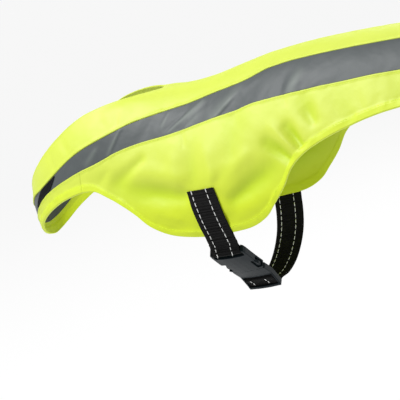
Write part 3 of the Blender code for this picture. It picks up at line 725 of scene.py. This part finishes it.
# %% Belt meshes
RIB_PITCH, RIB_HEIGHT, RIB_CHANGE, CHANGE_PITCH = 2.9, 0.26, 0.08, 17.0
EDGE_LOSS = 0.45        # share of the wall that is lost at the strap's edges


def webbing(name, grid):
    """A strap: its middle surface moved half a wall each way, thinner at its rounded edges."""
    along, across = np.gradient(grid, axis=0), np.gradient(grid, axis=1)
    n = np.cross(along, across)
    n /= np.linalg.norm(n, axis=-1, keepdims=True)
    run = length_along(grid[:, middle])
    share = np.abs(belt_across) / (WEBBING / 2)
    half = WEBBING_WALL / 2 * (1 - EDGE_LOSS * share**10)[None, :]
    height = RIB_HEIGHT + RIB_CHANGE * np.sin(run * 2 * math.pi / CHANGE_PITCH)
    ribs = (height * np.sin(run * 2 * math.pi / RIB_PITCH))[:, None] * (1 - share**6)[None, :]
    outer = grid + n * (half + ribs)[..., None]
    inner = grid - n * (half + ribs)[..., None]
    uv = np.stack(np.broadcast_arrays(run[:, None], belt_across[None, :]), -1)
    return grid_cloth(name, outer, inner, {"uv": uv}), outer, inner, run


belt_faces = {}
for name, grid in belts.items():
    pieces[name], *belt_faces[name] = webbing(name, grid)
print({name: round(belt_faces[name][2][-1]) for name in belts}, "mm of webbing")

# %% [markdown]
# ## Sums on sockets
# Stitches and finishes are both made with nodes, and their sums read best as plain Python. The
# small class below wraps one socket of a node tree, so that an expression on values adds its Math
# nodes, and one method adds every other node.

# %% Sums on sockets
class Value:
    """A socket of a node tree that Python's operators work on."""

    def __init__(self, tree, socket):
        self.tree, self.socket = tree, socket

    def node(self, kind, settings=None, sockets=None, out=0):
        """Adds a node: its settings first, then the values or links of its sockets."""
        node = self.tree.nodes.new(kind)
        for key, value in (settings or {}).items():
            setattr(node, key, value)
        for key, value in (sockets or {}).items():
            if isinstance(value, Value):
                self.tree.links.new(value.socket, node.inputs[key])
            else:
                node.inputs[key].default_value = value
        return Value(self.tree, node.outputs[out])

    def sum(self, operation, a, b=0.0):
        return self.node("ShaderNodeMath", {"operation": operation}, {0: a, 1: b})

    def __add__(self, other):
        return self.sum("ADD", self, other)

    def __sub__(self, other):
        return self.sum("SUBTRACT", self, other)

    def __rsub__(self, other):
        return self.sum("SUBTRACT", other, self)

    def __mul__(self, other):
        return self.sum("MULTIPLY", self, other)

    def sin(self):
        return self.sum("SINE", self)

    __radd__, __rmul__ = __add__, __mul__


# %% [markdown]
# ## Stitches
# A thread shows as a row of short dashes that sink in at both ends. Placing hundreds by hand
# would be slow and stiff, so Geometry Nodes do it: the tree cuts a path at an even pitch, puts one
# thread on each point, turned along the path, and ends as a plain mesh with its material.

# %% A Geometry Nodes tree for rows of stitches
THREAD_SEGMENTS, THREAD_RINGS = 6, 5


def stitch_tree(name, material):
    """Threads along the curves of Path: Pitch apart, each with a Length and a Radius."""
    tree = bpy.data.node_groups.new(name, "GeometryNodeTree")
    tree.is_modifier = True
    face = tree.interface
    face.new_socket("Geometry", in_out="OUTPUT", socket_type="NodeSocketGeometry")
    face.new_socket("Path", in_out="INPUT", socket_type="NodeSocketGeometry")
    for label in ("Pitch", "Length", "Radius"):
        face.new_socket(label, in_out="INPUT", socket_type="NodeSocketFloat")

    given, made = tree.nodes.new("NodeGroupInput"), tree.nodes.new("NodeGroupOutput")
    path, pitch, length, radius = (Value(tree, socket) for socket in given.outputs[:4])
    cut = path.node("GeometryNodeResampleCurve", {"mode": "LENGTH"},
                    {"Curve": path, "Length": pitch})
    ball = path.node("GeometryNodeMeshUVSphere", {}, {
        "Segments": THREAD_SEGMENTS, "Rings": THREAD_RINGS, "Radius": 1.0})
    size = path.node("ShaderNodeCombineXYZ", {}, {"X": radius, "Y": radius, "Z": length * 0.5})
    thread = path.node("GeometryNodeTransform", {}, {"Geometry": ball, "Scale": size})
    along = path.node("GeometryNodeInputTangent")
    turn = path.node("FunctionNodeAlignRotationToVector", {"axis": "Z"}, {"Vector": along})
    rows = path.node("GeometryNodeInstanceOnPoints", {}, {
        "Points": cut, "Instance": thread, "Rotation": turn})
    real = path.node("GeometryNodeRealizeInstances", {}, {"Geometry": rows})
    smooth = path.node("GeometryNodeSetShadeSmooth", {}, {"Geometry": real})
    paint = path.node("GeometryNodeSetMaterial", {}, {"Geometry": smooth, "Material": material})
    tree.links.new(paint.socket, made.inputs["Geometry"])
    return tree


def stitch_rows(name, paths, pitch, length, radius, material):
    """Stitches along open paths of points in the tables' millimetres, as one plain mesh."""
    curve = bpy.data.curves.new(name + "_path", "CURVE")
    curve.dimensions = "3D"
    for path in paths:
        spline = curve.splines.new("POLY")
        spline.points.add(len(path) - 1)
        spots = np.concatenate([(path - WITHERS) * MM, np.ones((len(path), 1))], 1)
        spline.points.foreach_set("co", spots.astype(np.float32).ravel())
    guide = linked(name + "_path", curve)
    tree = stitch_tree(name + "_rows", material)
    rows = guide.modifiers.new("rows", "NODES")
    rows.node_group = tree
    sizes = {"Pitch": pitch * MM, "Length": length * MM, "Radius": radius * MM}
    for item in tree.interface.items_tree:
        if item.item_type == "SOCKET" and item.in_out == "INPUT" and item.name in sizes:
            rows[item.identifier] = sizes[item.name]
    guide.update_tag()
    seen = guide.evaluated_get(bpy.context.evaluated_depsgraph_get())
    mesh = bpy.data.meshes.new_from_object(seen)
    mesh.name = name
    bpy.data.objects.remove(guide)
    print(name, len(mesh.polygons) // (THREAD_SEGMENTS * THREAD_RINGS), "stitches")
    return linked(name, mesh)


# %% [markdown]
# ## Finishes
# Each finish starts from the Principled shader. What is the same all over is set on its own
# sockets. Only colour, roughness and small bumps change from place to place, and they follow the
# piece itself: its own place in space, its uv in millimetres, or numbers that its points carry.

# %% Helpers for finishes
def new_finish(name, **sockets):
    """A material with its Principled shader's plain sockets set, and a Value to build from."""
    mat = bpy.data.materials.new(name)
    mat.use_nodes = True
    shader = mat.node_tree.nodes["Principled BSDF"]
    for key, value in sockets.items():
        shader.inputs[key.replace("_", " ")].default_value = value
    return mat, shader, Value(mat.node_tree, None)


def joined(mat, shader, **links):
    for key, value in links.items():
        mat.node_tree.links.new(value.socket, shader.inputs[key.replace("_", " ")])
    return mat


def mix_colours(start, share, a, b):
    """From colour a to colour b. Each is a link or its red, green and blue."""
    a, b = (c if isinstance(c, Value) else (*c, 1) for c in (a, b))
    return start.node("ShaderNodeMix", {"data_type": "RGBA"}, {"Factor": share, 6: a, 7: b}, 2)


def between(start, value, low, high, how="LINEAR"):
    """0 where a value is below low, 1 where it is above high."""
    return start.node("ShaderNodeMapRange", {"interpolation_type": how},
                      {0: value, 1: low, 2: high})


def painted(start, name):
    """A number that the mesh carries at its points."""
    return start.node("ShaderNodeAttribute", {"attribute_name": name}, out=2)


def object_place(start):
    return start.node("ShaderNodeTexCoord", out=3)


def object_height(start):
    return start.node("ShaderNodeSeparateXYZ", {}, {0: object_place(start)}, out=2)


def noise(start, scale, detail=3.0, rough=0.55):
    return start.node("ShaderNodeTexNoise", {}, {"Vector": object_place(start), "Scale": scale,
                                                 "Detail": detail, "Roughness": rough})


def bump(start, strength, distance, height, **under):
    return start.node("ShaderNodeBump", {}, {"Strength": strength, "Distance": distance,
                                             "Height": height, **under})


def cloth_uv(start):
    """Run along the piece and distance across it, in millimetres."""
    place = start.node("ShaderNodeUVMap", {"uv_map": "cloth"})
    return [start.node("ShaderNodeSeparateXYZ", {}, {0: place}, k) * (1 / MM) for k in (0, 1)]


def threads(distance, pitch):
    """A wave with one crest for each thread."""
    return (distance * (2 * math.pi / pitch)).sin()


# %% [markdown]
# The yellow cloth is a fine plain weave. Its bright dye turns other light into yellow light, which
# a faint painted glow stands for, so its shaded parts stay yellow. Its upper part is painted paler,
# a painted sheen for the light from above. The doubled hems are painted a shade brighter, partly
# for their double layer and partly as a painted highlight on their bulge, and the bottoms of the
# folds are painted darker, a painted shade.

# %% Yellow cloth
PAINTED_SHEEN_FROM, PAINTED_SHEEN_TO = -0.125, -0.05        # heights in metres over which the painted sheen comes in
CLOTH_THREAD = 0.55                         # pitch in millimetres


def yellow_finish():
    # faint painted glow: a constant yellow emission lifts the shaded parts, standing for the dye's
    # fluorescence
    mat, shader, start = new_finish("yellow_weave", Sheen_Weight=0.04, Sheen_Roughness=0.4,
                                    Specular_IOR_Level=0.55, Emission_Strength=0.07,
                                    Emission_Color=(0.55, 0.72, 0.0, 1))
    along, across = cloth_uv(start)
    weave = threads(along, CLOTH_THREAD) * threads(across, CLOTH_THREAD)
    # painted sheen: the upper part is painted paler and bluer, as where the light from above falls
    low = mix_colours(start, noise(start, 34.0), (0.45, 0.56, 0.001), (0.51, 0.61, 0.002))
    high = mix_colours(start, noise(start, 34.0), (0.46, 0.545, 0.048), (0.52, 0.60, 0.068))
    painted_top_sheen = between(start, object_height(start), PAINTED_SHEEN_FROM, PAINTED_SHEEN_TO, "SMOOTHSTEP")
    dye_and_painted_light = mix_colours(start, painted_top_sheen, low, high)
    # the doubled hems are painted brighter: partly for their double layer, partly as a painted
    # highlight on their bulge
    dye_and_painted_light = mix_colours(start, painted(start, "hem") * 0.5, dye_and_painted_light, (0.56, 0.69, 0.004))
    # painted shade: the bottoms of the folds are painted darker and deeper yellow
    dye_and_painted_light = mix_colours(start, painted(start, "hollow") * 0.7, dye_and_painted_light, (0.38, 0.52, 0.0005))
    broad, crumple = noise(start, 26.0, 2.0, 0.45), noise(start, 150.0, 4.0, 0.6)
    rough_face = bump(start, 0.9, 0.0024, broad + crumple * 0.07 + weave * 0.008)
    return joined(mat, shader, Base_Color=dye_and_painted_light, Normal=rough_face,
                  Roughness=0.48 + 0.1 * noise(start, 60.0))


# %% [markdown]
# The stripe is a grey reflective film on cloth. It is smooth enough to catch streaks of light
# along its creases, and these are painted in as paler colour on the crease ridges, a painted
# highlight. Very fine grains in it break the light up.

# %% Reflective stripe
def stripe_finish():
    mat, shader, start = new_finish("reflective_tape", Specular_IOR_Level=0.28)
    grain, cloudy = noise(start, 2600.0, 2.0), noise(start, 22.0)
    grey = mix_colours(start, cloudy, (0.042, 0.049, 0.050), (0.064, 0.074, 0.075))
    # painted highlight: the crease ridges are painted paler
    wear_and_sheen = mix_colours(start, painted(start, "crease") * 0.5, grey, (0.18, 0.21, 0.18))
    speck = mix_colours(start, grain * 0.35, wear_and_sheen, (0.14, 0.155, 0.16))
    fine = bump(start, 0.25, 0.0003, grain * 0.2 + noise(start, 120.0) * 0.8)
    wrinkles = bump(start, 0.6, 0.0016, noise(start, 55.0, 2.0, 0.4), Normal=fine)
    return joined(mat, shader, Base_Color=speck, Normal=wrinkles, Roughness=0.46 + 0.12 * cloudy)


# %% [markdown]
# Webbing and tab are black woven cloth. The webbing's broad ribs are in its mesh. Here finer ones
# run across it, and the threads along it show as fine lines. The tab's finer weave has a raised
# border.

# %% Black webbing and tab
FINE_RIB, WARP_THREAD = 1.15, 0.9           # pitches in millimetres
TAB_WEFT, TAB_WARP, TAB_BORDER = 0.7, 0.5, (1.2, 1.6)


def webbing_finish():
    mat, shader, start = new_finish("black_ribbed_webbing", Specular_IOR_Level=0.12)
    along, across = cloth_uv(start)
    wear_and_sheen = noise(start, 300.0)
    black = mix_colours(start, wear_and_sheen, (0.002, 0.002, 0.002), (0.008, 0.008, 0.008))
    ribs, warp = threads(along, FINE_RIB), threads(across, WARP_THREAD)
    woven = bump(start, 0.8, 0.0004, ribs * 0.5 + warp * 0.2 + wear_and_sheen * 0.3)
    return joined(mat, shader, Base_Color=black, Normal=woven, Roughness=0.62 + 0.2 * wear_and_sheen)


def tab_finish():
    mat, shader, start = new_finish("black_woven_tab", Specular_IOR_Level=0.08)
    along, across = cloth_uv(start)
    edge = 1 - between(start, painted(start, "border"), *TAB_BORDER)
    black = mix_colours(start, edge, (0.005, 0.005, 0.006), (0.014, 0.014, 0.016))
    weave = threads(along, TAB_WEFT) * threads(across, TAB_WARP)
    woven = bump(start, 0.6, 0.0003, weave * 0.4 + edge * 0.6)
    return joined(mat, shader, Base_Color=black, Normal=woven,
                  Roughness=0.6 + 0.15 * noise(start, 500.0))


# %% [markdown]
# The buckle is moulded plastic with a faint blue-grey shine, a fine moulded grain and smoother,
# rubbed spots. Threads are plain spun fibre: yellow on the cloth and white on the webbing. The
# yellow thread has the cloth's faint painted glow.

# %% Buckle plastic and threads
def plastic_finish():
    mat, shader, start = new_finish("black_moulded_plastic", Specular_IOR_Level=0.07,
                                    Specular_Tint=(0.8, 0.95, 1.0, 1))
    mottle = noise(start, 90.0)
    dark = mix_colours(start, mottle, (0.004, 0.007, 0.009), (0.008, 0.012, 0.015))
    grain = bump(start, 0.25, 0.00015, noise(start, 1500.0, 2.0))
    return joined(mat, shader, Base_Color=dark, Normal=grain, Roughness=0.26 + 0.12 * mottle)


def thread_finish(name, colour, glow=0.0):
    mat, shader, start = new_finish(name, Specular_IOR_Level=0.3, Sheen_Weight=0.1,
                                    Emission_Color=(*colour, 1), Emission_Strength=glow)
    fibre = noise(start, 900.0)
    shade = mix_colours(start, fibre, [c * 0.85 for c in colour], [c * 1.15 for c in colour])
    return joined(mat, shader, Base_Color=shade, Roughness=0.5 + 0.2 * fibre)


finishes = {"yellow": yellow_finish(), "stripe": stripe_finish(), "webbing": webbing_finish(),
            "tab": tab_finish(), "plastic": plastic_finish(),
            "yellow_thread": thread_finish("yellow_thread", (0.60, 0.76, 0.03), 0.05),
            "white_thread": thread_finish("white_thread", (0.74, 0.75, 0.73))}
looks = {"back": "yellow", "chest": "yellow", "flank": "yellow", "stripe": "stripe",
         "label": "tab", "webbing": "webbing"}
for name, piece in pieces.items():
    piece.data.materials.append(finishes[looks[name.split("_")[0]]])
print("finishes:", sorted(finishes))

# %% [markdown]
# ## Rows of stitches on the vest
# One row holds the hem down, one runs beside each edge of the stripe, and two pale rows run along
# the belt. Each path is read off the dressed grid at its distance from the edge, so a thread sinks
# into the groove that was made for it.


# %% Lay the stitches
def line_on(part, edge, distance, lift):
    """Points on a panel's outer face at a distance from its first, last or rear edge."""
    away, outer, inner = part[edge], part["outer"], part["inner"]
    if edge == "rear":
        away, outer, inner = away.T, outer.swapaxes(0, 1), inner.swapaxes(0, 1)
    out = []
    for dist, top, under in zip(away, outer, inner):
        if dist.max() < distance * 1.5:     # too narrow here for a row
            continue
        order = np.argsort(dist)
        a, b = (np.array([np.interp(distance, dist[order], skin[order, k]) for k in range(3)])
                for skin in (top, under))
        out.append(a + (a - b) / np.linalg.norm(a - b) * lift)
    return np.array(out)


HEM_ROW, LIP_ROW = (HEM_BAND - HEM_INSET, 0.05), (LIP_BAND - LIP_INSET, 0.0)
STITCHES = {    # pitch, length and radius of a thread, and its finish
    "hem_stitches": (3.4, 2.7, 0.24, finishes["yellow_thread"]),
    "lip_stitches": (3.0, 2.3, 0.2, finishes["yellow_thread"]),
    "belt_dashes": (5.6, 4.7, 0.45, finishes["white_thread"]),
}
REARS = [(panel_name, "rear") for panel_name in ("back", "stripe", "flank")]
HEMS = [("chest", "last"), ("flank", "last"), *REARS]
LIPS = [("chest", "first"), ("flank", "first"), ("back", "last")]
stitch_paths = {name: [line_on(parts[panel_name, side], edge, *row)
                       for side in SIDES for panel_name, edge in edges]
                for name, edges, row in (("hem_stitches", HEMS, HEM_ROW),
                                         ("lip_stitches", LIPS, LIP_ROW))}
print("paths on the cloth:", {name: len(paths) for name, paths in stitch_paths.items()})

# %% Lay the dashes on the belt
DASH_ROWS, DASH_HEIGHT = (-9.4, 6.6), WEBBING_WALL / 2 + 0.15
TIGHT_BEND, BEND_STEPS, BARE_END, SHORTEST = 0.2, 7, 1.5, 6.0


def belt_lines(name, face, across):
    """A line along one face of a belt, in stretches that leave out the tight turns round bars."""
    *skins, run = belt_faces[name]
    near, far = (np.array([[np.interp(across, belt_across, row[:, k]) for k in range(3)]
                           for row in skin]) for skin in skins[::face])
    centre = (near + far) / 2
    path = centre + (near - far) / np.linalg.norm(near - far, axis=1, keepdims=True) * DASH_HEIGHT
    ahead = np.diff(centre, axis=0)
    ahead /= np.linalg.norm(ahead, axis=1, keepdims=True)
    bend = np.concatenate([[0], np.linalg.norm(np.diff(ahead, axis=0), axis=1), [0]]) / BELT_STEP
    keep = np.convolve(bend, np.ones(BEND_STEPS) / BEND_STEPS, "same") < TIGHT_BEND
    keep &= (run > BARE_END) & (run < run[-1] - BARE_END)
    cuts = np.flatnonzero(np.diff(keep.astype(int))) + 1
    stretches = [path[part] for part in np.split(np.arange(len(path)), cuts) if keep[part[0]]]
    return [stretch for stretch in stretches if len(stretch) * BELT_STEP > SHORTEST]


stitch_paths["belt_dashes"] = [line for name in belts for face in (1, -1) for across in DASH_ROWS
                               for line in belt_lines(name, face, across)]
for name, sizes in STITCHES.items():
    pieces[name] = stitch_rows(name, stitch_paths[name], *sizes)

# %% [markdown]
# ## The buckle
# Its two halves already have the right shape as solids, but moulded plastic has no sharp edges. A
# bevel on cut shapes like these often fails at odd corners, so each half is copied, remeshed in
# small voxels and smoothed, which rounds every edge by about half a millimetre.

# %% Round the buckle's halves
VOXEL, SMOOTH_ROUNDS, FACES_KEPT = 0.36, 7, 0.45


def rounded(name, node):
    """A rounded copy of a solid: merged, remeshed, smoothed and thinned."""
    bm = bmesh.new()
    bm.from_mesh(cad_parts[node].data)
    bmesh.ops.remove_doubles(bm, verts=bm.verts[:], dist=1e-6)
    mesh = bpy.data.meshes.new(name)
    bm.to_mesh(mesh)
    bm.free()
    obj = linked(name, mesh)
    remesh = obj.modifiers.new("voxels", "REMESH")
    remesh.mode, remesh.voxel_size, remesh.use_smooth_shade = "VOXEL", VOXEL * MM, True
    soften = obj.modifiers.new("soften", "SMOOTH")
    soften.factor, soften.iterations = 0.5, SMOOTH_ROUNDS
    thin = obj.modifiers.new("thin", "DECIMATE")
    thin.ratio = FACES_KEPT
    seen = obj.evaluated_get(bpy.context.evaluated_depsgraph_get())
    made = bpy.data.meshes.new_from_object(seen)
    obj.modifiers.clear()
    obj.data = made
    made.shade_smooth()
    made.materials.clear()
    made.materials.append(finishes["plastic"])
    print(name, len(made.polygons), "faces")
    return obj


for half in ("socket", "plug"):
    pieces["moulded_" + half] = rounded("moulded_" + half, "buckle_" + half)

# %% [markdown]
# ## The pieces on the body
# Every piece rides on the one body, and a piece that stands for a solid hides it. Each cloth has
# the size it was cut to listed, the width and length of the piece when it is laid flat, and its
# area is measured on its own mesh.

# %% Ride and replace
DECLARED = {    # the solid that each piece stands for, and its slot
    "back_cloth": ("back_panel", "yellow_cloth"),
    "chest_cloth": ("chest_panel", "yellow_cloth"),
    "flank_cloth_left": ("side_panel_left", "yellow_cloth"),
    "flank_cloth_right": ("side_panel_right", "yellow_cloth"),
    "stripe_tape_left": ("stripe_left", "reflective_stripe"),
    "stripe_tape_right": ("stripe_right", "reflective_stripe"),
    "label_cloth": ("label_tab", "black_tab"),
    "webbing_left": ("belt_left", "black_webbing"),
    "webbing_right": ("belt_right", "black_webbing"),
    "moulded_socket": ("buckle_socket", "black_plastic"),
    "moulded_plug": ("buckle_plug", "black_plastic"),
    "hem_stitches": (None, "yellow_cloth"),
    "lip_stitches": (None, "yellow_cloth"),
    "belt_dashes": (None, "reflective_stripe"),
}
for name, piece in pieces.items():
    solid, slot = DECLARED[name]
    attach(piece, "root")
    if solid:
        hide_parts(solid)
print("declared:", len(DECLARED), "of", len(pieces), "pieces")


# %% Sheets
def half_area(obj):
    """Area of one side of a closed cloth, in square metres."""
    return sum(face.area for face in obj.data.polygons) / 2


CUT_SIZES = {"back_cloth": (0.19, 0.54), "chest_cloth": (0.045, 0.26),
             "flank_cloth_left": (0.125, 0.45), "flank_cloth_right": (0.125, 0.45),
             "stripe_tape_left": (0.06, 0.56), "stripe_tape_right": (0.06, 0.56),
             "label_cloth": (0.018, 0.023)}
for name, flat in CUT_SIZES.items():
    area, box_area = half_area(pieces[name]), flat[0] * flat[1]
    print(name, "flat", flat, "measured", round(area, 4), "of", round(box_area, 4), "m2")
    ["stripe_tape_left"] if name == "label_cloth" else ()

# %% [markdown]
# ## Floor and light
# A pale floor that curves up into a far wall gives an even background from any side. The light is
# a large soft panel above and in front of the vest's left, a weaker one behind, and a pale world.


# %% Floor, lights and world
def backdrop():
    """A pale round floor that curves up into a wall, all round and far outside every camera."""
    reach, bend, rise, low, turns = 4.6, 1.6, 3.2, -0.46, 64
    dim_from, dim_to = 0.3, 1.3
    profile = [(0.0, low), ((reach - bend) / 2, low), (reach - bend, low)]
    profile += [(reach - bend + bend * math.sin(a), low + bend - bend * math.cos(a))
                for a in np.linspace(0, math.pi / 2, 13)]
    profile.append((reach, rise))
    verts = [(r * math.cos(2 * math.pi * k / turns), r * math.sin(2 * math.pi * k / turns), z)
             for r, z in profile for k in range(turns)]
    faces = [(i * turns + k, i * turns + (k + 1) % turns, (i + 1) * turns + (k + 1) % turns,
              (i + 1) * turns + k) for i in range(len(profile) - 1) for k in range(turns)]
    mesh = bpy.data.meshes.new("floor")
    mesh.from_pydata(verts, [], faces)
    bm = bmesh.new()
    bm.from_mesh(mesh)
    bmesh.ops.remove_doubles(bm, verts=bm.verts[:], dist=1e-5)
    bmesh.ops.reverse_faces(bm, faces=[f for f in bm.faces if f.normal.z < -1e-3])
    bm.to_mesh(mesh)
    bm.free()
    mesh.shade_smooth()
    mat, shader, start = new_finish("pale_floor", Roughness=0.9, Specular_IOR_Level=0.0,
                                    Emission_Strength=0.88, Base_Color=(0.1, 0.1, 0.1, 1))
    dim = between(start, object_height(start), dim_from, dim_to)
    glow = mix_colours(start, dim, (1.0, 1.0, 1.0), (0.2, 0.2, 0.2))
    mesh.materials.append(joined(mat, shader, Emission_Color=glow))
    linked("floor", mesh)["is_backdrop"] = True


LIGHT_AIM = Vector((0.0, 0.0, -0.08))


def soft_panel(name, place, size, power):
    light = bpy.data.lights.new(name, "AREA")
    light.shape, light.size, light.energy = "DISK", size, power
    lamp = linked(name, light)
    lamp.location = place
    lamp.rotation_mode = "QUATERNION"
    lamp.rotation_quaternion = (LIGHT_AIM - Vector(place)).to_track_quat("-Z", "Y")


backdrop()
for light in (("key", (-0.62, -1.0, 1.85), 0.45, 66.0), ("far", (0.3, 1.7, 1.2), 1.0, 30.0)):
    soft_panel(*light)
world = bpy.data.worlds.new("pale")
world.use_nodes = True
world.node_tree.nodes["Background"].inputs["Color"].default_value = (1, 1, 1, 1)
world.node_tree.nodes["Background"].inputs["Strength"].default_value = 0.15
bpy.context.scene.world = world
bpy.context.scene.view_settings.view_transform = "Standard"

# %% Sizes and finish
new_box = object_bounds()
sizes = {"cad": [list(corner) for corner in cad_box], "visual": [list(corner) for corner in new_box]}
print("visual box:", [round((b - a) / MM) for a, b in zip(*new_box)], "mm")
